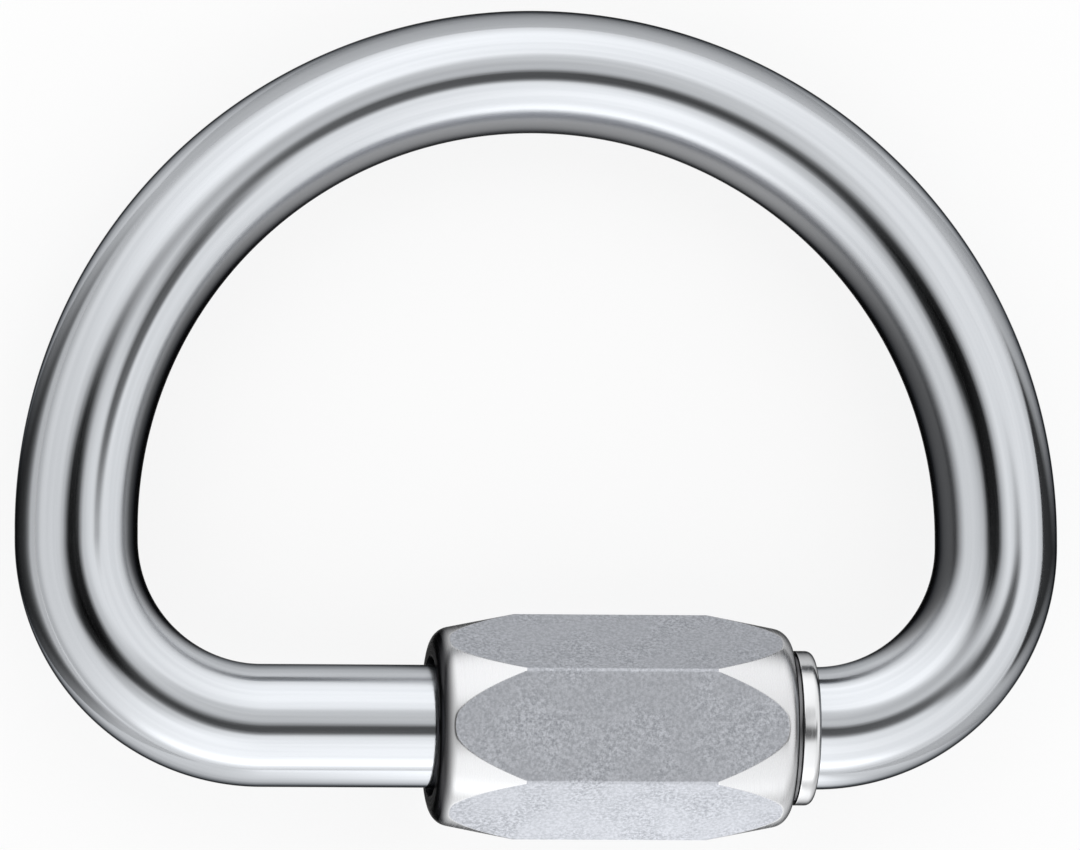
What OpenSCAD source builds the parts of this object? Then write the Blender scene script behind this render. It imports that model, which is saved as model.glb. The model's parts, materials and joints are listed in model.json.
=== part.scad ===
// Half-round screw quick link: a bent steel rod closed by a hexagonal sleeve nut.
// It lies as it comes to rest, on one flat of the nut and on its bow.
// X runs along the nut, Y from the nut to the bow, Z is up. Sizes are in millimetres.

/* [Rod] */
// Diameter of the bent rod
rod_d = 10; // [7:0.5:12]
// Inside width of the link between its two sides
inside_w = 65.5; // [64:0.5:110]
// Inside radius of the corners beside the straight leg
corner_in_r = 10; // [8:0.5:11]
// Straight run of a side between its corner and the bow
side_len = 0.75; // [0.25:0.25:40]

/* [Gate] */
// Gap between the two rod tips
gate_w = 11; // [6:0.5:13]
// Length of the short stub, from its bend to its tip
short_stub_len = 5; // [4.5:0.5:8]
// Threaded length of the short stub
short_thread_len = 3.5; // [2.5:0.5:4]
// Threaded length of the long stub
long_thread_len = 12; // [6:0.5:14]
// Height of the rolled thread above the rod
thread_h = 0.3; // [0.2:0.05:0.5]
// Chamfer at each rod tip
tip_chamfer = 0.8; // [0.3:0.1:1.2]

/* [Sleeve nut] */
// Width of the hexagon across its flats
nut_af = 16; // [15:0.5:24]
// Length of the hexagon
hex_len = 29.4; // [26:0.1:34]
// Depth by which the hexagon's corners are trimmed round
corner_trim = 0.08; // [0.04:0.02:0.4]
// Length of each end taper, measured along the trimmed corners
taper_len = 6.8; // [4:0.1:9]
// Slope of the end tapers against the nut's axis
taper_deg = 11; // [6:0.5:14]
// Radius of the rounded edge at each end of the hexagon
nut_round_r = 1.6; // [0.6:0.1:1.8]
// Diameter of the round collar at the bend end
collar_d = 12.6; // [12.2:0.1:14]
// Length of the collar, with its neck
collar_len = 1.9; // [1.4:0.1:4]
// Radius of the collar's rounded outer edge
collar_round_r = 0.6; // [0.2:0.1:0.8]
// Width of the neck between the hexagon and the collar
neck_w = 0.4; // [0.2:0.1:0.6]
// Depth of the neck below the collar
neck_depth = 0.2; // [0.1:0.05:0.3]
// Gap between the collar and the bend when the nut is closed
bend_gap = 0.3; // [0.1:0.1:1]
// Gap between the thread and the bore
bore_gap = 0.15; // [0.1:0.05:0.3]
// Chamfer at each mouth of the bore
mouth_chamfer = 0.3; // [0.1:0.1:0.4]

/* [Hidden] */
$fn = 96;
// Straight pieces of a small rounded edge
ROUND_STEPS = 6;
// Small overlap that keeps cuts clean
CUT = 1;

rod_r = rod_d / 2;
thread_r = rod_r + thread_h;

// Centreline of the rod
bow_r = inside_w / 2 + rod_r;
corner_r = corner_in_r + rod_r;
leg_half = bow_r - corner_r;
bow_y = corner_r + side_len;
top_y = bow_y + bow_r;
long_stub_len = 2 * leg_half - gate_w - short_stub_len;

// Sleeve nut, with its collar next to the bend of the short stub
nut_len = hex_len + collar_len;
nut_start_x = leg_half - bend_gap - nut_len;
hex_r = nut_af / 2 / cos(30);
corner_out_r = hex_r - corner_trim;
bore_r = thread_r + bore_gap;

// Resting place: the nut lies on a flat and the bow's rod meets the same surface
axis_z = nut_af / 2;
tilt_deg = asin((axis_z - rod_r) / top_y);
far_y = top_y * cos(tilt_deg) + rod_r;
centre_y = (far_y - corner_out_r) / 2;

// Points of an arc about c, in equal steps
function arc(c, r, from, to) =
    [for (i = [0:ROUND_STEPS]) let (a = from + (to - from) * i / ROUND_STEPS)
        c + r * [cos(a), sin(a)]];

// Height of the taper's cone at a distance x from the end of the hexagon
function taper_r(x) = corner_out_r - (taper_len - x) * tan(taper_deg);

// Turns an outline of [distance along X, radius] points about the X axis
module turned(outline) {
    rotate([90, 0, 90])
        rotate_extrude()
            polygon([for (p = outline) [p[1], p[0]]]);
}

// Bend of the rod: an arc about the local Z axis, from one angle to another
module bend(r, from, sweep) {
    rotate([0, 0, from])
        rotate_extrude(angle = sweep)
            translate([r, 0])
                circle(r = rod_r);
}

// Straight stub from its bend at the origin towards +X, with a rolled thread up to its tip
module stub(len, thread_len) {
    thread_start = len - thread_len;
    turned([
        [0, 0],
        [0, rod_r],
        [thread_start - thread_h, rod_r],
        [thread_start, thread_r],
        [len - tip_chamfer, thread_r],
        [len, thread_r - tip_chamfer],
        [len, 0]
    ]);
}

// One side of the rod, from the end of its stub's bend to the start of the bow
module side() {
    translate([leg_half, corner_r, 0])
        bend(corner_r, -90, 90);
    translate([bow_r, corner_r, 0])
        rotate([-90, 0, 0])
            cylinder(h = side_len, r = rod_r);
}

// Sets the nut's axis at its height above the rest, with the whole link centred
module rest() {
    translate([0, -centre_y, axis_z])
        children();
}

module link_body() {
    color("gainsboro")
        rest()
            rotate([-tilt_deg, 0, 0]) {
                translate([0, bow_y, 0])
                    bend(bow_r, 0, 180);
                side();
                mirror([1, 0, 0])
                    side();
                translate([-leg_half, 0, 0])
                    stub(long_stub_len, long_thread_len);
                translate([leg_half, 0, 0])
                    mirror([1, 0, 0])
                        stub(short_stub_len, short_thread_len);
            }
}

// Envelope of the hexagon: a cone at each end, a cylinder that trims the corners, rounded end edges
module tapers() {
    // A rounded edge touches the end face and the cone
    round_y = taper_r(nut_round_r) - nut_round_r / cos(taper_deg);
    turned(concat(
        [[0, 0]],
        arc([nut_round_r, round_y], nut_round_r, 180, 90 + taper_deg),
        [[taper_len, corner_out_r], [hex_len - taper_len, corner_out_r]],
        arc([hex_len - nut_round_r, round_y], nut_round_r, 90 - taper_deg, 0),
        [[hex_len, 0]]
    ));
}

// Hexagonal barrel, with flats facing up and down
module barrel() {
    intersection() {
        rotate([90, 0, 90])
            cylinder(h = hex_len, r = hex_r, $fn = 6);
        tapers();
    }
}

// Round collar behind a narrow neck
module collar() {
    collar_r = collar_d / 2;
    round_c = [collar_len - collar_round_r, collar_r - collar_round_r];
    turned(concat(
        [[0, 0], [0, collar_r - neck_depth], [neck_w, collar_r - neck_depth], [neck_w, collar_r]],
        arc(round_c, collar_round_r, 90, 0),
        [[collar_len, 0]]
    ));
}

// Bore with a chamfered mouth at each end
module bore() {
    turned([
        [-CUT, 0],
        [-CUT, bore_r + mouth_chamfer + CUT],
        [mouth_chamfer, bore_r],
        [nut_len - mouth_chamfer, bore_r],
        [nut_len + CUT, bore_r + mouth_chamfer + CUT],
        [nut_len + CUT, 0]
    ]);
}

module sleeve_nut() {
    color("silver")
        rest()
            translate([nut_start_x, 0, 0])
                difference() {
                    union() {
                        barrel();
                        translate([hex_len, 0, 0])
                            collar();
                    }
                    bore();
                }
}

link_body();
sleeve_nut();
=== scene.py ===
"""Dresses a half-round screw quick link: bent polished rod, tapered sleeve nut, and the studio round them.

Lengths are in metres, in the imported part's frame: X along the nut, Y from the nut to the bow, Z up.
"""
import json
import logging
import math
from dataclasses import dataclass
from enum import Enum
from typing import Any, Iterable, Union

import bpy
from bpy.types import Material, Node, NodeSocket, NodeTree, Object, World
from mathutils import Matrix, Vector


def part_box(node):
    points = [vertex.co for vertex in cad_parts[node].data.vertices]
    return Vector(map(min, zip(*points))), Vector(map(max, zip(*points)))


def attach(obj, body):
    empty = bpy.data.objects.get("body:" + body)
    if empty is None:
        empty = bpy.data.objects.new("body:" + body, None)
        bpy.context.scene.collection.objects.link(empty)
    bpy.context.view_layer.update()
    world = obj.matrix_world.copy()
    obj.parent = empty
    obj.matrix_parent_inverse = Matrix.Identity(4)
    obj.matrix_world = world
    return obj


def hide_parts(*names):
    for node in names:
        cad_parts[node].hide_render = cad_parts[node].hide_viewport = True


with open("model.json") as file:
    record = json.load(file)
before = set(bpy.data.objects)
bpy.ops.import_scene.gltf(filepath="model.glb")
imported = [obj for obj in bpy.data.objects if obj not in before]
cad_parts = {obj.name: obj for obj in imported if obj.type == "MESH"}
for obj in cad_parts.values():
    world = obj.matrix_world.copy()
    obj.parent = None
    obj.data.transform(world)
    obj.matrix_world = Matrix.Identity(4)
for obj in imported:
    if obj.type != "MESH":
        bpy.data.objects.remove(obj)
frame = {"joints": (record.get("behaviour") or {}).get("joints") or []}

LOG = logging.getLogger("quick_link")
MM = 0.001
MOST_NOISE = (0.3, 0.7)
Number = Union[float, "Field"]
Pair = tuple[float, float]
Tone = tuple[float, float, float]
Place = tuple[float, float, float]
Colour = Union[Tone, NodeSocket]


class Body(Enum):
    """The rigid bodies that pieces ride on."""

    LINK = "link"
    NUT = "nut"


class Slot(Enum):
    """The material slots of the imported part."""

    ROD = "polished_rod"
    NUT = "satin_nut"


class NutFace(Enum):
    """The finishes on the nut, by their place among its materials."""

    FLAT = 0
    TURNED = 1
    CUT = 2
    COLLAR = 3


@dataclass(frozen=True)
class Field:
    """A number that runs through a node tree, combined with Python's own arithmetic."""

    tree: NodeTree
    socket: NodeSocket

    def math(self, operation: str, *others: Number) -> "Field":
        """Adds one Math node that starts from this number.

        Args:
            operation: The Math node's operation.
            others: The numbers for its further inputs.

        Returns:
            The node's result.
        """
        node = self.tree.nodes.new("ShaderNodeMath")
        node.operation = operation
        for place, value in zip(node.inputs, (self, *others)):
            plug(self.tree, value, place)
        return Field(self.tree, node.outputs[0])

    def __add__(self, other: Number) -> "Field":
        """Sum."""
        return self.math("ADD", other)

    def __sub__(self, other: Number) -> "Field":
        """Difference."""
        return self.math("SUBTRACT", other)

    def __mul__(self, other: Number) -> "Field":
        """Product."""
        return self.math("MULTIPLY", other)

    def __truediv__(self, other: Number) -> "Field":
        """Quotient."""
        return self.math("DIVIDE", other)

    def __rsub__(self, other: float) -> "Field":
        """A plain number less this one."""
        return self.math("MULTIPLY_ADD", -1.0, other)

    def ramp(self, start: float, end: float, low: float = 0.0, high: float = 1.0) -> "Field":
        """Runs smoothly from low to high as this number goes from start to end.

        Args:
            start: Where the ramp begins.
            end: Where it ends.
            low: The result before start.
            high: The result after end.

        Returns:
            The ramped number.
        """
        node = self.tree.nodes.new("ShaderNodeMapRange")
        node.interpolation_type = "SMOOTHSTEP"
        plug(self.tree, self, node.inputs["Value"])
        for name, value in (("From Min", start), ("From Max", end), ("To Min", low), ("To Max", high)):
            node.inputs[name].default_value = value
        return Field(self.tree, node.outputs[0])


def plug(tree: NodeTree, value: Any, place: NodeSocket) -> None:
    """Links a field or a socket to an input, or sets the input to a plain value.

    Args:
        tree: The tree that holds the input.
        value: A Field, an output socket or a plain value.
        place: The input socket.
    """
    if isinstance(value, Field):
        tree.links.new(value.socket, place)
    elif isinstance(value, NodeSocket):
        tree.links.new(value, place)
    else:
        place.default_value = value


def combine(tree: NodeTree, *parts: Number) -> NodeSocket:
    """Joins three numbers into a vector.

    Args:
        tree: The tree to add the node to.
        parts: The three numbers.

    Returns:
        The vector's output socket.
    """
    node = tree.nodes.new("ShaderNodeCombineXYZ")
    for place, value in zip(node.inputs, parts):
        plug(tree, value, place)
    return node.outputs[0]


def parts_of(tree: NodeTree, vector: NodeSocket) -> tuple[Field, ...]:
    """Splits a vector into three numbers.

    Args:
        tree: The tree to add the node to.
        vector: The vector's output socket.

    Returns:
        The vector's three parts.
    """
    node = tree.nodes.new("ShaderNodeSeparateXYZ")
    plug(tree, vector, node.inputs[0])
    return tuple(Field(tree, socket) for socket in node.outputs)


def vector_math(tree: NodeTree, operation: str, *values: Any) -> Node:
    """Adds one Vector Math node.

    Args:
        tree: The tree to add the node to.
        operation: The node's operation.
        values: The vectors for its inputs, as sockets or plain vectors.

    Returns:
        The node.
    """
    node = tree.nodes.new("ShaderNodeVectorMath")
    node.operation = operation
    for place, value in zip(node.inputs, values):
        plug(tree, value, place)
    return node


def noise(tree: NodeTree, vector: NodeSocket, scale: float, detail: float) -> Field:
    """Adds a Noise Texture.

    Args:
        tree: The material's tree.
        vector: The coordinates that it reads.
        scale: Its scale.
        detail: Its octaves.

    Returns:
        The noise, from 0 to 1.
    """
    node = tree.nodes.new("ShaderNodeTexNoise")
    node.inputs["Scale"].default_value = scale
    node.inputs["Detail"].default_value = detail
    tree.links.new(vector, node.inputs["Vector"])
    return Field(tree, node.outputs["Fac"])


def blend_colours(tree: NodeTree, share: Field, one: Colour, two: Colour) -> NodeSocket:
    """Mixes two colours.

    Args:
        tree: The material's tree.
        share: How much of the second colour shows.
        one: First colour, plain or from a socket.
        two: Second colour, plain or from a socket.

    Returns:
        The mixed colour's output socket.
    """
    node = tree.nodes.new("ShaderNodeMix")
    node.data_type = "RGBA"
    plug(tree, share, node.inputs["Factor"])
    for place, colour in zip(node.inputs[6:8], (one, two)):
        plug(tree, colour if isinstance(colour, NodeSocket) else (*colour, 1.0), place)
    return node.outputs[2]


def bump(tree: NodeTree, height: Field, distance: float) -> NodeSocket:
    """Adds a Bump node.

    Args:
        tree: The material's tree.
        height: The height, from 0 to 1.
        distance: The real height of 1.

    Returns:
        The normal's output socket.
    """
    node = tree.nodes.new("ShaderNodeBump")
    node.inputs["Distance"].default_value = distance
    plug(tree, height, node.inputs["Height"])
    return node.outputs["Normal"]


def new_material(name: str) -> tuple[Material, NodeTree, Node]:
    """Makes a material with a plain shader.

    Args:
        name: The material's name.

    Returns:
        The material, its tree and its shader.
    """
    material = bpy.data.materials.new(name)
    material.use_nodes = True
    tree = material.node_tree
    return material, tree, next(n for n in tree.nodes if n.type == "BSDF_PRINCIPLED")


def make_matt(shader: Node) -> None:
    """Takes all gloss from a shader."""
    shader.inputs["Roughness"].default_value = 1.0
    shader.inputs["Specular IOR Level"].default_value = 0.0


def add_glow(tree: NodeTree, base: NodeSocket, share: Field, level: float) -> None:
    """Mixes a plain white glow over a shader, at the material's output.

    Args:
        tree: The material's tree.
        base: The output of the shader below.
        share: How much of the glow shows.
        level: The glow's strength.
    """
    glow = tree.nodes.new("ShaderNodeEmission")
    glow.inputs["Strength"].default_value = level
    mix = tree.nodes.new("ShaderNodeMixShader")
    plug(tree, share, mix.inputs["Fac"])
    plug(tree, base, mix.inputs[1])
    plug(tree, glow.outputs["Emission"], mix.inputs[2])
    target = next(n for n in tree.nodes if n.type == "OUTPUT_MATERIAL")
    plug(tree, mix.outputs["Shader"], target.inputs["Surface"])


@dataclass(frozen=True)
class Finish:
    """What every metal finish shares: a name, a pair of tones and an edge tone."""

    name: str
    light: Tone
    dark: Tone
    edge: Tone = (0.03, 0.03, 0.03)

    def start(self) -> tuple[Material, NodeTree, Node]:
        """Makes the material with a metal shader.

        Returns:
            The material, its tree and its shader.
        """
        material, tree, shader = new_material(self.name)
        shader.inputs["Metallic"].default_value = 1.0
        shader.inputs["Specular Tint"].default_value = (*self.edge, 1.0)
        return material, tree, shader

    def attribute(self, tree: NodeTree, name: str) -> Field:
        """Reads a number that the mesh carries."""
        node = tree.nodes.new("ShaderNodeAttribute")
        node.attribute_name = name
        return Field(tree, node.outputs["Fac"])


@dataclass(frozen=True)
class PolishedRod(Finish):
    """Bright polished rod: faint drawing lines along its bends, painted shade on its inner side and flanks,
    a rougher inner side and matt tips.
    """

    # Painted shade tones: one for the inner side, a darker one for the flanks.
    painted_inner_shade: Tone = (0.33, 0.335, 0.345)
    painted_rim_shade: Tone = (0.09, 0.092, 0.096)
    painted_shade_span: Pair = (0.68, 0.9)
    aside_span: Pair = (0.45, 0.85)
    aside_lead: float = 0.12
    roughness: float = 0.075
    rough_spread: float = 0.05
    rough_span: Pair = (0.3, 0.75)
    haze: float = 0.14
    haze_span: Pair = (0.35, 0.6)
    tip_haze: float = 0.4
    tip_depth: float = 0.1 * MM
    streaks_across: float = 9.0
    streaks_along: float = 25.0
    streak_depth: float = 0.0035 * MM

    def material(self) -> Material:
        """Builds the material.

        Returns:
            The finished material.
        """
        material, tree, shader = self.start()
        along = self.attribute(tree, "along")
        around = self.attribute(tree, "around")
        inward = self.attribute(tree, "inward")
        aside = self.attribute(tree, "aside")
        off_tip = self.attribute(tree, "to_tip").ramp(0.0, self.tip_depth)
        across = combine(
            tree,
            along * self.streaks_along,
            around.math("COSINE") * self.streaks_across,
            around.math("SINE") * self.streaks_across,
        )
        lines = noise(tree, across, 1.0, 4.0) * off_tip
        fine = noise(tree, across, 4.0, 2.0)
        # Painted shade: the inner side of the rod and, darker, its flanks are darkened here, standing in
        # for the dark reflections along its rims.
        painted_inner_shade = (inward + aside * self.aside_lead).ramp(*self.painted_shade_span)
        hazy = inward.ramp(*self.haze_span)
        bright = blend_colours(tree, lines.ramp(*MOST_NOISE) * (1.0 - painted_inner_shade), self.dark, self.light)
        painted_shade = blend_colours(tree, aside.ramp(*self.aside_span), self.painted_inner_shade, self.painted_rim_shade)
        plug(tree, blend_colours(tree, painted_inner_shade, bright, painted_shade), shader.inputs["Base Color"])
        gloss = fine.ramp(*self.rough_span, self.roughness, self.roughness + self.rough_spread)
        rough = gloss + hazy * self.haze + (1.0 - off_tip) * self.tip_haze
        plug(tree, rough, shader.inputs["Roughness"])
        plug(tree, bump(tree, lines, self.streak_depth), shader.inputs["Normal"])
        return material


@dataclass(frozen=True)
class BlastedFlats(Finish):
    """Finely blasted flats: a grey sheen with small pits."""

    rough: Pair = (0.52, 0.61)
    pit_scale: float = 3900.0
    fine_scale: float = 10530.0
    pit_depth: float = 0.014 * MM
    cloud_scale: float = 260.0
    pit_span: Pair = (0.34, 0.66)
    cloud_span: Pair = (0.35, 0.65)

    def material(self) -> Material:
        """Builds the material.

        Returns:
            The finished material.
        """
        material, tree, shader = self.start()
        place = tree.nodes.new("ShaderNodeTexCoord").outputs["Object"]
        grain = noise(tree, place, self.pit_scale, 4.0)
        fine = noise(tree, place, self.fine_scale, 2.0)
        clouds = noise(tree, place, self.cloud_scale, 3.0)
        specks = grain.ramp(*self.pit_span, -0.5, 0.5) * 0.55 + fine.ramp(*MOST_NOISE, -0.5, 0.5) * 0.45
        tone = specks * clouds.ramp(*self.cloud_span, 0.5, 1.0) + 0.5
        plug(tree, blend_colours(tree, tone, self.light, self.dark), shader.inputs["Base Color"])
        plug(tree, clouds.ramp(*MOST_NOISE, *self.rough), shader.inputs["Roughness"])
        plug(tree, bump(tree, grain * 0.6 + fine * 0.4, self.pit_depth), shader.inputs["Normal"])
        return material


@dataclass(frozen=True)
class TurnedSteel(Finish):
    """Bright turned ends: fine rings left by the tool, with painted shade darkening them towards the end
    faces.
    """

    rough: Pair = (0.22, 0.31)
    ring_scale: float = 5200.0
    ring_depth: float = 0.003 * MM
    # The end tone is painted shade: near-black on the end faces and their rounds, standing in for the dark
    # reflections there.
    end: Tone = (0.08, 0.08, 0.083)
    painted_end_span: Pair = (0.1, 0.55)

    def material(self) -> Material:
        """Builds the material.

        Returns:
            The finished material.
        """
        material, tree, shader = self.start()
        profile = self.attribute(tree, "profile")
        rings = noise(tree, combine(tree, profile, 0.0, 0.0), self.ring_scale, 2.0)
        bright = blend_colours(tree, rings, self.dark, self.light)
        # Painted shade: the base colour darkens to the end tone towards the end faces.
        painted_end_shade = self.attribute(tree, "painted_end_shade").ramp(*self.painted_end_span)
        plug(tree, blend_colours(tree, painted_end_shade, bright, self.end), shader.inputs["Base Color"])
        plug(tree, rings.ramp(*MOST_NOISE, *self.rough), shader.inputs["Roughness"])
        plug(tree, bump(tree, rings, self.ring_depth), shader.inputs["Normal"])
        return material


@dataclass(frozen=True)
class PaleFloor:
    """Plain pale floor with a faint mottle. Part of its white is its own, so that shadows stay light."""

    glow: float = 0.82
    light: Tone = (0.955, 0.955, 0.955)
    dark: Tone = (0.945, 0.945, 0.945)
    mottle_scale: float = 40.0

    def material(self) -> Material:
        """Builds the material.

        Returns:
            The finished material.
        """
        material, tree, shader = new_material("pale_floor")
        place = tree.nodes.new("ShaderNodeTexCoord").outputs["Object"]
        mottle = noise(tree, place, self.mottle_scale, 2.0)
        plug(tree, blend_colours(tree, mottle, self.dark, self.light), shader.inputs["Base Color"])
        make_matt(shader)
        path = tree.nodes.new("ShaderNodeLightPath").outputs
        seen = Field(tree, path["Is Camera Ray"])
        for kind in ("Is Glossy Ray", "Is Transmission Ray"):
            seen = seen.math("MAXIMUM", Field(tree, path[kind]))
        add_glow(tree, shader.outputs["BSDF"], seen * self.glow, 1.0)
        return material


@dataclass(frozen=True)
class DarkSurround:
    """Matt grey cloth with a dark flag on the right and a shorter one close by on the left."""

    cloth: Tone = (0.72, 0.72, 0.72)
    flag: Tone = (0.05, 0.05, 0.05)
    middle_y: float = -10.0 * MM
    right_near: Pair = (28.0 * MM, 58.0 * MM)
    right_slant: float = 1.3
    right_sides: Pair = (40.0 * MM, 10.0 * MM)
    right_spread: float = 0.2
    left_near: Pair = (18.0 * MM, 46.0 * MM)
    left_slant: float = 0.7
    left_far: Pair = (95.0 * MM, 52.0 * MM)

    def material(self) -> Material:
        """Builds the material.

        Returns:
            The finished material.
        """
        material, tree, shader = new_material("dark_surround")
        right, y, _ = parts_of(tree, tree.nodes.new("ShaderNodeTexCoord").outputs["Object"])
        left = right * -1.0
        aside = (y - self.middle_y).math("ABSOLUTE")
        on_right = (right - aside * self.right_slant).ramp(*self.right_near)
        on_right = on_right * (aside - right * self.right_spread).ramp(*self.right_sides)
        on_left = (left - aside * self.left_slant).ramp(*self.left_near) * left.ramp(*self.left_far)
        colour = blend_colours(tree, on_right + on_left, self.cloth, self.flag)
        plug(tree, colour, shader.inputs["Base Color"])
        make_matt(shader)
        return material


@dataclass(frozen=True)
class FrontCard:
    """A lit card that fades out towards its sides and its far edge."""

    level: float = 2.0
    left_fade: Pair = (-34.0 * MM, 14.0 * MM)
    right_fade: Pair = (36.0 * MM, 20.0 * MM)
    front_fade: Pair = (-320.0 * MM, -90.0 * MM)

    def material(self) -> Material:
        """Builds the material.

        Returns:
            The finished material.
        """
        material, tree, shader = new_material("front_card")
        tree.nodes.remove(shader)
        x, y, _ = parts_of(tree, tree.nodes.new("ShaderNodeTexCoord").outputs["Object"])
        share = x.ramp(*self.left_fade) * x.ramp(*self.right_fade) * y.ramp(*self.front_fade)
        clear = tree.nodes.new("ShaderNodeBsdfTransparent").outputs["BSDF"]
        add_glow(tree, clear, share, self.level)
        return material


def add_object(name: str, data: Any) -> Object:
    """Puts an object with that data into the scene, at the origin.

    Args:
        name: The object's name.
        data: Its mesh, curve or camera.

    Returns:
        The new object.
    """
    made = bpy.data.objects.new(name, data)
    bpy.context.scene.collection.objects.link(made)
    return made


def new_tree(name: str, numbers: Iterable[str], others: dict[str, str]) -> tuple[NodeTree, Any]:
    """Starts a geometry tree with named inputs, the last of them its finish.

    Args:
        name: The tree's name.
        numbers: Names of its plain number inputs.
        others: Socket type of each further input, by name.

    Returns:
        The tree and its inputs as sockets.
    """
    tree = bpy.data.node_groups.new(name, "GeometryNodeTree")
    for way in ("INPUT", "OUTPUT"):
        tree.interface.new_socket("Geometry", in_out=way, socket_type="NodeSocketGeometry")
    kinds = {**dict.fromkeys(numbers, "NodeSocketFloat"), **others, "Finish": "NodeSocketMaterial"}
    for socket, kind in kinds.items():
        tree.interface.new_socket(socket, in_out="INPUT", socket_type=kind)
    return tree, tree.nodes.new("NodeGroupInput").outputs


def dress(tree: NodeTree, geometry: NodeSocket, finish: NodeSocket) -> None:
    """Ends a geometry tree with one real mesh in its finish.

    Args:
        tree: The tree.
        geometry: The output that carries the mesh.
        finish: The tree's finish input.
    """
    whole = tree.nodes.new("GeometryNodeRealizeInstances")
    tree.links.new(geometry, whole.inputs[0])
    dressed = tree.nodes.new("GeometryNodeSetMaterial")
    tree.links.new(whole.outputs[0], dressed.inputs["Geometry"])
    tree.links.new(finish, dressed.inputs["Material"])
    tree.links.new(dressed.outputs[0], tree.nodes.new("NodeGroupOutput").inputs[0])


def frozen(source: Object, tree: NodeTree, values: dict[str, Any]) -> Object:
    """Runs a geometry tree on an object and keeps the result as a plain mesh object of the tree's name.

    Args:
        source: The object to run it on, which is then removed.
        tree: The geometry tree.
        values: The value for each of its named inputs, set by the input's identifier.

    Returns:
        The plain mesh object.
    """
    modifier = source.modifiers.new(tree.name, "NODES")
    modifier.node_group = tree
    for item in tree.interface.items_tree:
        if item.in_out == "INPUT" and item.name in values:
            modifier[item.identifier] = values[item.name]
    graph = bpy.context.evaluated_depsgraph_get()
    mesh = bpy.data.meshes.new_from_object(source.evaluated_get(graph))
    mesh.name = tree.name
    bpy.data.objects.remove(source)
    return add_object(tree.name, mesh)


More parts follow.
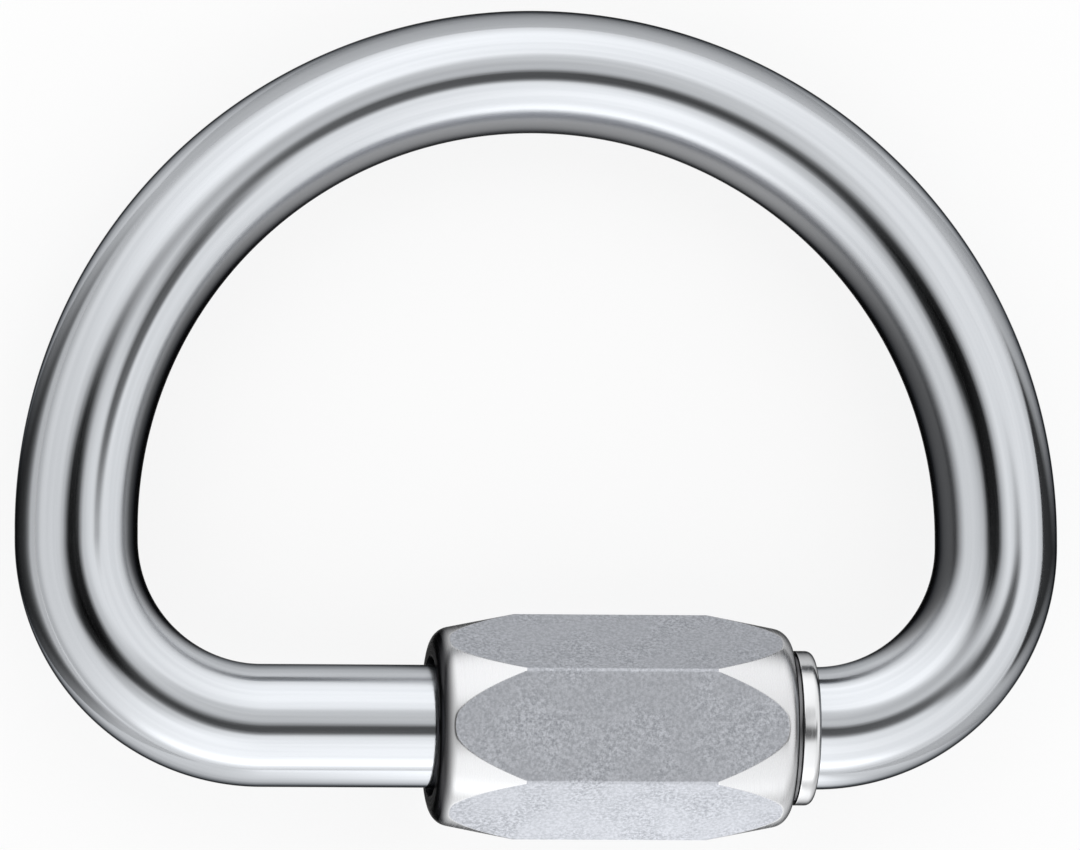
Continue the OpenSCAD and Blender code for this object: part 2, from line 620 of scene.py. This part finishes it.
@dataclass
class LinkBody:
    """The bent rod, from the tip of its long stub round the bow to the tip of its short stub."""

    axis: Vector
    tilt: float
    bow_r: float
    leg_half: float
    pitch: float
    gate: float = 11.0 * MM
    short_stub: float = 5.0 * MM
    rod_r: float = 5.0 * MM
    corner_r: float = 15.0 * MM
    side_len: float = 0.75 * MM
    crest: float = 0.28 * MM
    root: float = 0.15 * MM
    tip_chamfer: float = 0.8 * MM
    long_thread: float = 12.0 * MM
    short_thread: float = 3.5 * MM
    sides: int = 112
    corner_steps: int = 56
    bow_steps: int = 240
    steps_per_turn: int = 18
    plain_step: float = 0.6 * MM
    tooth_span: Pair = (0.2, 0.8)
    fade_turns: float = 0.8
    body: Body = Body.LINK
    slot: Slot = Slot.ROD

    def placed(self, x: float, y: float) -> Vector:
        """Takes a point of the rod's own plane to the part's frame."""
        return self.axis + Vector((x, y * math.cos(self.tilt), -y * math.sin(self.tilt)))

    def stub(self, start: float, end: float, thread: float, tip_at_start: bool) -> list[Vector]:
        """Points along a straight stub, close together where it is threaded.

        Args:
            start: X of the first point.
            end: X of the last point.
            thread: Threaded length, counted from the tip.
            tip_at_start: Whether the tip is the first point.

        Returns:
            The points in order.
        """
        length = abs(end - start)
        fine = self.pitch / self.steps_per_turn
        places = [i * fine for i in range(int(thread / fine) + 1)]
        plain = max(2, round((length - places[-1]) / self.plain_step))
        step = (length - places[-1]) / plain
        places += [places[-1] + step * (i + 1) for i in range(plain)]
        if not tip_at_start:
            places = [length - p for p in reversed(places)]
        way = math.copysign(1.0, end - start)
        return [self.placed(start + way * p, 0.0) for p in places]

    def arc(self, centre: Pair, radius: float, turn: Pair, count: int) -> list[Vector]:
        """Points along a bend, without its first one.

        Args:
            centre: Centre of the bend in the rod's plane.
            radius: Radius of its centreline.
            turn: First and last angle in degrees.
            count: Number of steps.

        Returns:
            The points in order.
        """
        points = []
        for i in range(1, count + 1):
            a = math.radians(turn[0] + (turn[1] - turn[0]) * i / count)
            points.append(self.placed(centre[0] + radius * math.cos(a), centre[1] + radius * math.sin(a)))
        return points

    def path(self) -> list[Vector]:
        """The rod's centreline.

        Returns:
            Its points, from the long stub's tip to the short stub's.
        """
        bow_y = self.corner_r + self.side_len
        short_tip_x = self.leg_half - self.short_stub
        points = self.stub(short_tip_x - self.gate, -self.leg_half, self.long_thread, True)
        points += self.arc((-self.leg_half, self.corner_r), self.corner_r, (270, 180), self.corner_steps)
        points += self.arc((0.0, bow_y), self.bow_r, (180, 0), self.bow_steps)
        points.append(self.placed(self.bow_r, self.corner_r))
        points += self.arc((self.leg_half, self.corner_r), self.corner_r, (0, -90), self.corner_steps)
        points += self.stub(self.leg_half, short_tip_x, self.short_thread, False)[1:]
        return points

    def centreline(self) -> Object:
        """Makes a curve object along the rod's centreline.

        Returns:
            The curve object.
        """
        points = self.path()
        curve = bpy.data.curves.new("rod_centreline", "CURVE")
        curve.dimensions = "3D"
        curve.twist_mode = "Z_UP"
        spline = curve.splines.new("POLY")
        spline.points.add(len(points) - 1)
        for place, point in zip(spline.points, points):
            place.co = (*point, 1.0)
        return add_object("rod_centreline", curve)

    def tree(self) -> NodeTree:
        """Builds the node tree that sweeps the rod along its centreline and rolls its threads.

        Returns:
            The tree, with named inputs for its sizes.
        """
        numbers = ("Rod Radius", "Crest", "Root", "Pitch", "Long Thread", "Short Thread", "Tip Chamfer")
        others = {"Middle": "NodeSocketVector", "Sides": "NodeSocketInt"}
        tree, sizes = new_tree("bent_rod", numbers, others)
        new, link = tree.nodes.new, tree.links.new

        def size(name: str) -> Field:
            """A named input as a number."""
            return Field(tree, sizes[name])

        def kept(geometry: Any, name: str, value: Any, kind: str) -> Any:
            """Stores a value on a curve's or a mesh's points under a name."""
            node = new("GeometryNodeStoreNamedAttribute")
            node.data_type = kind
            node.domain = "POINT"
            node.inputs["Name"].default_value = name
            link(geometry, node.inputs["Geometry"])
            plug(tree, value, node.inputs["Value"])
            return node.outputs[0]

        def read(name: str, kind: str) -> Any:
            """Reads a stored value back."""
            node = new("GeometryNodeInputNamedAttribute")
            node.data_type = kind
            node.inputs["Name"].default_value = name
            return node.outputs["Attribute"]

        parameter = new("GeometryNodeSplineParameter").outputs
        rail = kept(sizes["Geometry"], "along", parameter["Length"], "FLOAT")
        rail = kept(rail, "rail_place", new("GeometryNodeInputPosition").outputs[0], "FLOAT_VECTOR")
        ring = new("GeometryNodeCurvePrimitiveCircle")
        link(sizes["Sides"], ring.inputs["Resolution"])
        link(sizes["Rod Radius"], ring.inputs["Radius"])
        turn = Field(tree, parameter["Factor"]) * math.tau
        hoop = kept(ring.outputs[0], "around", turn, "FLOAT")
        sweep = new("GeometryNodeCurveToMesh")
        link(rail, sweep.inputs["Curve"])
        link(hoop, sweep.inputs["Profile Curve"])
        sweep.inputs["Fill Caps"].default_value = True

        along = Field(tree, read("along", "FLOAT"))
        length = new("GeometryNodeAttributeStatistic")
        link(sweep.outputs[0], length.inputs["Geometry"])
        plug(tree, along, length.inputs["Attribute"])
        to_end = Field(tree, length.outputs["Max"]) - along
        to_tip = along.math("MINIMUM", to_end)
        on_short = to_end.math("LESS_THAN", along)
        threaded = size("Long Thread") + on_short * (size("Short Thread") - size("Long Thread"))

        rail_place = read("rail_place", "FLOAT_VECTOR")
        place = new("GeometryNodeInputPosition").outputs[0]
        out = vector_math(tree, "SUBTRACT", place, rail_place).outputs[0]
        out_x, out_y, out_z = parts_of(tree, out)
        rail_x, _, _ = parts_of(tree, rail_place)
        angle = out_z.math("ARCTAN2", out_y)
        phase = rail_x / size("Pitch") - angle / math.tau
        tooth = phase.math("PINGPONG", 0.5) * 2.0
        height = size("Crest") - (size("Crest") + size("Root")) * tooth.ramp(*self.tooth_span)
        run_out = threaded - to_tip
        lift = height * (run_out / size("Pitch")).ramp(0.0, self.fade_turns)
        tip_limit = size("Crest") - size("Tip Chamfer") + to_tip
        radius = size("Rod Radius") + lift.math("MINIMUM", tip_limit)

        outward = vector_math(tree, "NORMALIZE", out).outputs[0]
        reach = vector_math(tree, "SCALE", outward)
        plug(tree, radius, reach.inputs["Scale"])
        moved = vector_math(tree, "ADD", rail_place, reach.outputs[0]).outputs[0]
        to_middle = vector_math(tree, "SUBTRACT", sizes["Middle"], rail_place).outputs[0]
        middle_way = vector_math(tree, "NORMALIZE", to_middle).outputs[0]
        inward = vector_math(tree, "DOT_PRODUCT", outward, middle_way).outputs["Value"]
        aside = out_x.math("ABSOLUTE") / size("Rod Radius")
        rod = sweep.outputs[0]
        for name, value in (("inward", inward), ("aside", aside), ("to_tip", to_tip)):
            rod = kept(rod, name, value, "FLOAT")
        shaped = new("GeometryNodeSetPosition")
        link(rod, shaped.inputs["Geometry"])
        link(moved, shaped.inputs["Position"])

        smooth = new("GeometryNodeSetShadeSmooth")
        link(shaped.outputs[0], smooth.inputs["Geometry"])
        dress(tree, smooth.outputs[0], sizes["Finish"])
        return tree

    def build(self, finish: PolishedRod) -> Object:
        """Makes the rod as a plain mesh.

        Args:
            finish: The rod's finish.

        Returns:
            The rod's object.
        """
        values = {
            "Rod Radius": self.rod_r,
            "Crest": self.crest,
            "Root": self.root,
            "Pitch": self.pitch,
            "Long Thread": self.long_thread,
            "Short Thread": self.short_thread,
            "Tip Chamfer": self.tip_chamfer,
            "Middle": self.placed(0.0, self.corner_r + self.side_len),
            "Sides": self.sides,
            "Finish": finish.material(),
        }
        rod = frozen(self.centreline(), self.tree(), values)
        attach(rod, self.body.value)
        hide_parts("link_body")
        return rod


@dataclass
class SleeveNut:
    """The hexagonal sleeve with end cones, neck and collar, built section by section round its axis."""

    axis: Vector
    start_x: float
    length: float
    flat_r: float
    corner_r: float
    hex_len: float = 29.4 * MM
    taper_len: float = 6.8 * MM
    taper: float = math.radians(11.0)
    end_round: float = 1.6 * MM
    collar_r: float = 6.3 * MM
    collar_round: float = 0.6 * MM
    neck_w: float = 0.4 * MM
    neck_depth: float = 0.2 * MM
    bore_r: float = 5.45 * MM
    mouth: float = 0.3 * MM
    bevel: float = 0.07 * MM
    soft: float = 0.04 * MM
    sides: int = 6
    flat_steps: int = 14
    flat_margin: float = 0.35
    round_steps: int = 9
    cone_steps: int = 3
    knee_share: float = 0.7
    barrel_steps: int = 6
    collar_steps: int = 6
    bore_steps: int = 8
    collar_end_rate: float = 4.0
    body: Body = Body.NUT
    slot: Slot = Slot.NUT

    def angles(self) -> list[float]:
        """Angles of the sections across one flat, from one corner up to the next, in degrees."""
        trimmed = math.degrees(math.acos(self.flat_r / self.corner_r))
        corner = 180.0 / self.sides
        half = (corner + trimmed) / 2
        inner = trimmed - self.flat_margin
        run = [inner * (i / self.flat_steps) for i in range(-self.flat_steps, self.flat_steps + 1)]
        return [-corner, -half, -trimmed, *run, trimmed, half]

    def fillet(self, centre: Pair, radius: float, turn: Pair) -> list[Pair]:
        """Points of a rounded edge in a section.

        Args:
            centre: Centre of the round as distance along the nut and radius.
            radius: Radius of the round.
            turn: First and last angle in degrees.

        Returns:
            The points in order.
        """
        step = (turn[1] - turn[0]) / self.collar_steps
        turns = [math.radians(turn[0] + step * i) for i in range(self.collar_steps + 1)]
        return [(centre[0] + radius * math.cos(a), centre[1] + radius * math.sin(a)) for a in turns]

    def hex_end(self, reach: float) -> list[Pair]:
        """Section of one end of the hexagon, from the end face to the flat.

        Args:
            reach: Radius of the hexagon in this section.

        Returns:
            Points as distance from the end face and radius.
        """
        slope = math.tan(self.taper)
        end_r = self.corner_r - (self.taper_len - self.end_round) * slope
        round_y = end_r - self.end_round / math.cos(self.taper)
        round_len = self.end_round * (math.pi / 2 - self.taper)
        cone_r = round_y + self.end_round * math.cos(self.taper)

        def at(travelled: float) -> Pair:
            """The outline's point after a way from the end face, round the edge and up the cone."""
            a = min(travelled, round_len) / self.end_round
            beyond = max(travelled - round_len, 0.0)
            x = self.end_round * (1.0 - math.cos(a)) + beyond * math.cos(self.taper)
            return x, round_y + self.end_round * math.sin(a) + beyond * math.sin(self.taper)

        if reach > cone_r:
            meet = round_len + (reach - cone_r) / math.sin(self.taper)
        else:
            meet = self.end_round * math.asin((reach - round_y) / self.end_round)
        tail = meet - 2 * self.bevel
        knee = min(round_len, self.knee_share * tail)
        places = [knee * i / self.round_steps for i in range(self.round_steps + 1)]
        places += [knee + (tail - knee) * i / self.cone_steps for i in range(1, self.cone_steps + 1)]
        points = [at(place) for place in (*places, meet - self.bevel)]
        flat_x = at(meet)[0]
        return [*points, (flat_x + self.bevel, reach), (flat_x + 2 * self.bevel, reach)]

    def section(self, degrees: float) -> tuple[list[Pair], list[NutFace]]:
        """The nut's closed outline in one half-plane through its axis.

        Args:
            degrees: Angle from the middle of the nearest flat.

        Returns:
            The outline as distance along the nut and radius, and the finish of the strip after each point.
        """
        reach = min(self.flat_r / math.cos(math.radians(degrees)), self.corner_r)
        left = self.hex_end(reach)
        right = [(self.hex_len - x, r) for x, r in reversed(left)]
        span = right[0][0] - left[-1][0]
        run = [left[-1][0] + span * i / self.barrel_steps for i in range(1, self.barrel_steps)]
        soft = self.soft
        neck_r = self.collar_r - self.neck_depth
        neck_end = self.hex_len + self.neck_w
        mouth_r = self.bore_r + self.mouth
        edge = (self.length - self.collar_round, self.collar_r - self.collar_round)
        edge_end = math.degrees(math.asin((mouth_r + soft - edge[1]) / self.collar_round))
        bore_end = self.length - self.mouth
        bore_step = (self.length - 2 * self.mouth) / self.bore_steps
        strips = (
            (NutFace.CUT, [(0.0, mouth_r), (0.0, mouth_r + 2 * soft)]),
            (NutFace.TURNED, left[:-2]),
            (NutFace.FLAT, left[-2:] + [(x, reach) for x in run] + right[:1]),
            (NutFace.TURNED, right[1:-1]),
            (NutFace.CUT, right[-1:]),
            (NutFace.CUT, [(self.hex_len, neck_r + 3 * soft), (self.hex_len, neck_r + soft)]),
            (NutFace.CUT, [(self.hex_len + soft, neck_r), (neck_end - soft, neck_r)]),
            (NutFace.COLLAR, [(neck_end, neck_r + soft), (neck_end, self.collar_r - soft)]),
            (NutFace.COLLAR, [(neck_end + soft, self.collar_r), (neck_end + 3 * soft, self.collar_r)]),
            (NutFace.COLLAR, self.fillet(edge, self.collar_round, (90, edge_end))),
            (NutFace.CUT, [(self.length, mouth_r), (bore_end, self.bore_r)]),
            (NutFace.CUT, [(bore_end - bore_step * i, self.bore_r) for i in range(1, self.bore_steps + 1)]),
        )
        points = [point for _, run_points in strips for point in run_points]
        kinds = [kind for kind, run_points in strips for _ in run_points]
        return points, kinds

    def painted_end_shade(self, x: float) -> float:
        """How near a point of the hexagon is to an end face, as its share of painted shade: 1 on the face,
        0 past the painted dark edge.
        """
        if x > self.hex_len:
            return 0.0
        depth = min(x, (self.hex_len - x) * self.collar_end_rate, self.end_round)
        return 1.0 - math.acos(1.0 - depth / self.end_round) / (math.pi / 2)

    def build(self, finishes: dict[NutFace, Finish]) -> Object:
        """Makes the nut's mesh.

        Args:
            finishes: The finish of each kind of face.

        Returns:
            The nut's object.
        """
        verts: list[Place] = []
        profile: list[float] = []
        painted_end_shade: list[float] = []
        across = self.angles()
        for side in range(self.sides):
            for degrees in across:
                points, kinds = self.section(degrees)
                a = math.radians(90.0 + 360.0 / self.sides * side + degrees)
                travelled = 0.0
                for i, (x, r) in enumerate(points):
                    travelled += math.dist(points[i - 1], (x, r)) if i else 0.0
                    place = Vector((self.start_x + x, r * math.cos(a), r * math.sin(a)))
                    verts.append(tuple(self.axis + place))
                    profile.append(travelled)
                    painted_end_shade.append(self.painted_end_shade(x))
        columns, count = self.sides * len(across), len(kinds)
        faces, places = [], []
        for c in range(columns):
            nxt = (c + 1) % columns
            for i, kind in enumerate(kinds):
                j = (i + 1) % count
                faces.append((c * count + i, c * count + j, nxt * count + j, nxt * count + i))
                places.append(kind.value)
        mesh = bpy.data.meshes.new("sleeve_nut_dressed")
        mesh.from_pydata(verts, [], faces)
        for name, values in (("profile", profile), ("painted_end_shade", painted_end_shade)):
            mesh.attributes.new(name, "FLOAT", "POINT").data.foreach_set("value", values)
        for face in NutFace:
            mesh.materials.append(finishes[face].material())
        mesh.polygons.foreach_set("material_index", places)
        mesh.shade_smooth()
        mesh.update()
        nut = add_object("sleeve_nut_dressed", mesh)
        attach(nut, self.body.value)
        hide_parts("sleeve_nut")
        return nut


@dataclass
class InnerThread:
    """The fine thread inside the nut, wound as one ridge on the bore."""

    axis: Vector
    start_x: float
    length: float
    bore_r: float
    pitch: float
    height: float = 0.12 * MM
    sunk: float = 0.03 * MM
    foot_share: float = 0.34
    crest_share: float = 0.2
    steps_per_turn: int = 72
    body: Body = Body.NUT
    slot: Slot = Slot.NUT

    def tree(self) -> NodeTree:
        """Builds the node tree that winds the ridge.

        Returns:
            The tree, with named inputs for its sizes.
        """
        numbers = ("Radius", "Length", "Turns", "Half Width", "Height", "Sunk")
        tree, sizes = new_tree("inner_thread", numbers, {"Steps": "NodeSocketInt"})
        new, link = tree.nodes.new, tree.links.new
        coil = new("GeometryNodeCurveSpiral")
        for name, size in (("Resolution", "Steps"), ("Rotations", "Turns"), ("Height", "Length")):
            link(sizes[size], coil.inputs[name])
        for name in ("Start Radius", "End Radius"):
            link(sizes["Radius"], coil.inputs[name])
        upright = new("GeometryNodeSetCurveNormal")
        upright.mode = "Z_UP"
        link(coil.outputs[0], upright.inputs["Curve"])
        height, sunk = Field(tree, sizes["Height"]), Field(tree, sizes["Sunk"])
        half = Field(tree, sizes["Half Width"])
        ridge = new("GeometryNodeCurvePrimitiveQuadrilateral")
        ridge.mode = "POINTS"
        crest = half * self.crest_share
        root = sunk * -1.0
        spots = ((root, half), (height, crest), (height, crest * -1.0), (root, half * -1.0))
        for number, (inwards, aside) in enumerate(spots, 1):
            link(combine(tree, inwards, aside, 0.0), ridge.inputs[f"Point {number}"])
        sweep = new("GeometryNodeCurveToMesh")
        link(upright.outputs[0], sweep.inputs["Curve"])
        link(ridge.outputs[0], sweep.inputs["Profile Curve"])
        sweep.inputs["Fill Caps"].default_value = True
        dress(tree, sweep.outputs[0], sizes["Finish"])
        return tree

    def build(self, finish: TurnedSteel) -> Object:
        """Makes the ridge as a plain mesh.

        Args:
            finish: The thread's finish.

        Returns:
            The ridge's object.
        """
        source = add_object("thread_source", bpy.data.meshes.new("thread_source"))
        values = {
            "Radius": self.bore_r,
            "Length": self.length,
            "Turns": self.length / self.pitch,
            "Half Width": self.pitch * self.foot_share,
            "Height": self.height,
            "Sunk": self.sunk,
            "Steps": self.steps_per_turn,
            "Finish": finish.material(),
        }
        thread = frozen(source, self.tree(), values)
        turn = Matrix.Rotation(math.radians(90.0), 4, "Y")
        thread.data.transform(Matrix.Translation(self.axis + Vector((self.start_x, 0.0, 0.0))) @ turn)
        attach(thread, self.body.value)
        return thread


@dataclass(frozen=True)
class Gap:
    """A soft-edged dark oval in the light tent, in degrees to the right of the lens and above it."""

    right: float
    up: float
    half_width: float
    half_height: float
    floor: float
    core: float = 0.35
    edge: float = 1.15

    def shade(self, u: Field, v: Field) -> Field:
        """How much light is left in a direction.

        Args:
            u: Degrees to the right of the lens.
            v: Degrees above it.

        Returns:
            The share of the light, from the gap's own floor to 1.
        """
        p = (u - self.right) / self.half_width
        q = (v - self.up) / self.half_height
        return (p * p + q * q).math("SQRT").ramp(self.core, self.edge, self.floor, 1.0)


@dataclass
class Studio:
    """The floor, the camera, the soft light and what the metal reflects."""

    target: Vector
    lean_left: float = math.radians(7.64)
    lean_front: float = math.radians(1.57)
    roll: float = math.radians(0.22)
    distance: float = 1.5
    pixels_per_mm: float = 12.295
    image_width: int = 1080
    sensor: float = 36.0
    floor_half: float = 3.0
    floor_gap: float = 0.01 * MM
    edge_x: float = 44.9 * MM
    edge_y: float = 35.3 * MM
    card_half: float = 60.0 * MM
    card_far: float = 320.0 * MM
    card_height: float = 0.5 * MM
    surround_far: float = 2900.0 * MM
    surround_front: float = 120.0 * MM
    surround_height: float = 0.02 * MM
    side_light: float = 1.04
    right_gain: float = 0.08
    front_gain: float = 0.42
    left_loss: float = 0.12
    left_span: Pair = (-0.2, -0.8)
    left_rise: Pair = (0.42, 0.0)
    horizon: float = 0.76
    horizon_rise: Pair = (0.0, 0.25)
    panel_gain: float = 0.45
    panel_span: Pair = (-0.8, -0.98)
    panel_rise: Pair = (0.5, 0.2)
    panel_foot: float = 0.2
    panel_foot_rise: Pair = (0.0, 0.2)
    lens: Gap = Gap(right=-5.0, up=6.0, half_width=17.0, half_height=15.0, floor=0.02, core=0.5)
    rim: Gap = Gap(right=-5.0, up=0.0, half_width=28.0, half_height=30.0, floor=0.55, core=0.5)
    arm_root: Gap = Gap(right=-10.0, up=-5.0, half_width=18.0, half_height=9.0, floor=0.06)
    arm: Gap = Gap(right=17.0, up=-7.0, half_width=24.0, half_height=13.0, floor=0.15)
    arm_end: Gap = Gap(right=41.0, up=-4.0, half_width=12.0, half_height=18.0, floor=0.15)
    seam: Gap = Gap(right=16.0, up=23.0, half_width=13.0, half_height=13.0, floor=0.7)

    def axes(self) -> tuple[Vector, Vector, Vector]:
        """The camera's axes.

        Returns:
            Its right, its up, and the way back towards it.
        """
        back = Vector((-math.tan(self.lean_left), -math.tan(self.lean_front), 1.0)).normalized()
        right = Vector((0.0, 1.0, 0.0)).cross(back).normalized()
        up = back.cross(right)
        turned_right = right * math.cos(self.roll) + up * math.sin(self.roll)
        turned_up = up * math.cos(self.roll) - right * math.sin(self.roll)
        return turned_right, turned_up, back

    def add_camera(self) -> Object:
        """Makes the camera and gives it to the scene.

        Returns:
            The camera object.
        """
        right, up, back = self.axes()
        data = bpy.data.cameras.new("camera")
        data.sensor_width = self.sensor
        data.lens = self.pixels_per_mm / MM * self.distance / self.image_width * self.sensor
        data.clip_start = 0.01
        data.clip_end = 20.0
        camera = add_object("camera", data)
        camera.matrix_world = Matrix((right, up, back)).transposed().to_4x4()
        camera.location = self.target + back * self.distance
        bpy.context.scene.camera = camera
        return camera

    def lay(self, finish: Any, name: str, height: float, *spans: tuple[float, ...]) -> Object:
        """Lays level rectangles as one piece.

        Args:
            finish: The piece's finish.
            name: The piece's name.
            height: The level that they lie on.
            spans: First and last X, and first and last Y, of each rectangle.

        Returns:
            The piece's object.
        """
        verts: list[Place] = []
        for x0, x1, y0, y1 in spans:
            verts += [(x0, y0, height), (x1, y0, height), (x1, y1, height), (x0, y1, height)]
        mesh = bpy.data.meshes.new(name)
        mesh.from_pydata(verts, [], [range(i, i + 4) for i in range(0, len(verts), 4)])
        mesh.materials.append(finish.material())
        laid = add_object(name, mesh)
        return laid

    def add_stage(self) -> None:
        """Lays the floor, and a lit card and dark flags that only the metal's reflections show."""
        half, card, front = self.floor_half, self.card_half, -self.surround_front
        x, y, far = self.edge_x, self.edge_y, self.surround_far
        self.lay(PaleFloor(), "floor", -self.floor_gap, (-half, half, -half, half))
        in_front = (-card, card, -self.card_far, -y)
        front_card = self.lay(FrontCard(), "front_card", self.card_height, in_front)
        cloth = ((x, far, front, far), (-far, -x, front, far), (-x, x, y, far))
        surround = self.lay(DarkSurround(), "dark_surround", self.surround_height, *cloth)
        for piece in (front_card, surround):
            piece.visible_camera = False
            piece.visible_diffuse = False
            piece.visible_shadow = False

    def add_light(self) -> World:
        """Surrounds the link with a soft tent: bright all round, open overhead for the lens and its arm.

        Returns:
            The scene's world.
        """
        world = bpy.data.worlds.new("light_tent")
        world.use_nodes = True
        bpy.context.scene.world = world
        tree = world.node_tree
        background = next(n for n in tree.nodes if n.type == "BACKGROUND")
        way = tree.nodes.new("ShaderNodeTexCoord").outputs["Generated"]

        def part(axis: Vector) -> Field:
            """How far the looked-at direction runs along an axis."""
            return Field(tree, vector_math(tree, "DOT_PRODUCT", way, axis).outputs["Value"])

        x, y, z = (part(axis) for axis in self.axes())
        rise = part(Vector((0.0, 0.0, 1.0)))
        flat = (x * x + y * y).math("SQRT").math("MAXIMUM", 1e-4)
        to_right = x / flat
        to_back = y / flat
        angle = z.math("ARCCOSINE") * math.degrees(1.0)
        ends = to_back * to_back
        light = ends * ends * self.front_gain + to_right * self.right_gain + self.side_light
        for gap in (self.lens, self.rim, self.arm_root, self.arm, self.arm_end, self.seam):
            light = light * gap.shade(angle * to_right, angle * to_back)
        left = to_right.ramp(*self.left_span)
        light = light * (1.0 - left * rise.ramp(*self.left_rise, 0.0, self.left_loss))
        light = light * rise.ramp(*self.horizon_rise, self.horizon, 1.0)
        panel = to_back.ramp(*self.panel_span) * rise.ramp(*self.panel_rise)
        panel = panel * rise.ramp(*self.panel_foot_rise, self.panel_foot, 1.0)
        light = light + panel * self.panel_gain
        plug(tree, light, background.inputs["Strength"])
        background.inputs["Color"].default_value = (1.0, 1.0, 1.0, 1.0)
        return world


def main() -> None:
    """Builds the link and its studio."""
    logging.basicConfig(level=logging.INFO, format="%(message)s")
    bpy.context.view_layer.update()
    nut_low, nut_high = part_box("sleeve_nut")
    _, link_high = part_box("link_body")
    travel = frame["joints"][0]["range_m"]
    turns_to_open = 10
    axis = Vector((0.0, (nut_low.y + nut_high.y) / 2, nut_high.z / 2))
    rod_r = LinkBody.rod_r
    bow_r = link_high.x - rod_r
    top_y = LinkBody.corner_r + LinkBody.side_len + bow_r
    link = LinkBody(
        axis=axis,
        tilt=math.asin((axis.z - rod_r) / top_y),
        bow_r=bow_r,
        leg_half=bow_r - LinkBody.corner_r,
        pitch=-travel[0] / turns_to_open,
    )
    rod_finish = PolishedRod("polished_rod_steel", light=(0.62, 0.64, 0.668), dark=(0.565, 0.585, 0.613))
    LOG.info("rod: %s", link.build(rod_finish).name)
    nut = SleeveNut(
        axis=axis,
        start_x=nut_low.x,
        length=nut_high.x - nut_low.x,
        flat_r=nut_high.z / 2,
        corner_r=(nut_high.y - nut_low.y) / 2,
    )
    flats = BlastedFlats(
        name="blasted_flats",
        light=(0.67, 0.686, 0.728),
        dark=(0.32, 0.333, 0.361),
        edge=(0.5, 0.5, 0.5),
    )
    turned = TurnedSteel("turned_steel", light=(0.7, 0.705, 0.715), dark=(0.62, 0.625, 0.635))
    # Cut steel for the end faces, neck, bore and inner thread. Its very dark tone is partly painted shade,
    # standing in for the dark reflections and shade on these faces.
    cut = TurnedSteel(
        name="cut_steel_painted_shade",
        light=(0.2, 0.2, 0.205),
        dark=(0.15, 0.15, 0.155),
        edge=(0.02, 0.02, 0.02),
        rough=(0.24, 0.33),
    )
    collar = TurnedSteel(
        name="collar_steel",
        light=(0.7, 0.705, 0.715),
        dark=(0.64, 0.645, 0.655),
        rough=(0.12, 0.21),
    )
    finishes = {NutFace.FLAT: flats, NutFace.TURNED: turned, NutFace.CUT: cut, NutFace.COLLAR: collar}
    LOG.info("nut: %s", nut.build(finishes).name)
    inset = 1.0 * MM
    thread = InnerThread(
        axis=axis,
        start_x=nut_low.x + inset,
        length=nut.length - 2 * inset,
        bore_r=nut.bore_r,
        pitch=link.pitch,
    )
    LOG.info("thread: %s", thread.build(cut).name)
    studio = Studio(target=Vector((0.05 * MM, -0.08 * MM, axis.z)))
    studio.add_camera()
    studio.add_stage()
    studio.add_light()
    bpy.context.scene.view_settings.view_transform = "Standard"
    bpy.context.view_layer.update()


if __name__ == "__main__":
    main()
